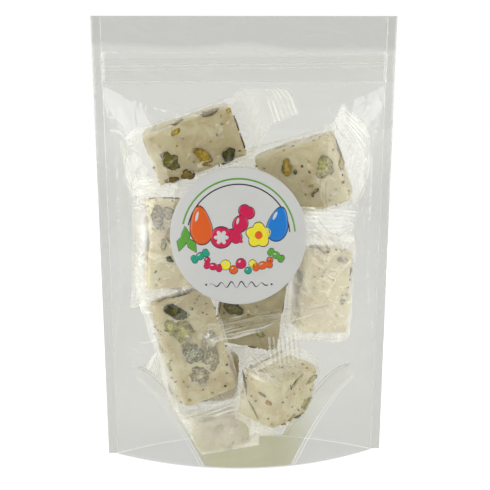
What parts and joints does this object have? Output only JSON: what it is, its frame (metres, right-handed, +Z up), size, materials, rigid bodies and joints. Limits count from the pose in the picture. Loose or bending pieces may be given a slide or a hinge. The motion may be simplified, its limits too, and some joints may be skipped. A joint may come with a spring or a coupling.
{
  "type": "stand-up pouch of wrapped pistachio nougat bars",
  "caption": "Clear stand-up pouch with side seals, a press-to-close zip, a folded base gusset and a round front label, packed with small wrapped blocks of pistachio nougat.",
  "frame": {"origin": "under the middle of the pouch, on the surface that it stands on", "axes": "+Z up, the labelled front faces -Y, +X to the right of the front"},
  "size_m": [0.15, 0.055, 0.22],
  "materials": {
    "film": "clear glossy film, slightly grey",
    "zip": "clear glossy strip",
    "label": "satin coated white paper",
    "label_ink": "printed fields of bright colour",
    "wrapper": "thin crinkled glossy film",
    "nougat": "cream, matt, slightly waxy",
    "pistachio": "green to golden nut, cut and whole"
  },
  "bodies": {
    "root": {"pouch": "film", "zip_front_strip": "zip", "zip_back_strip": "zip", "label": "label"}
  },
  "joints": []
}
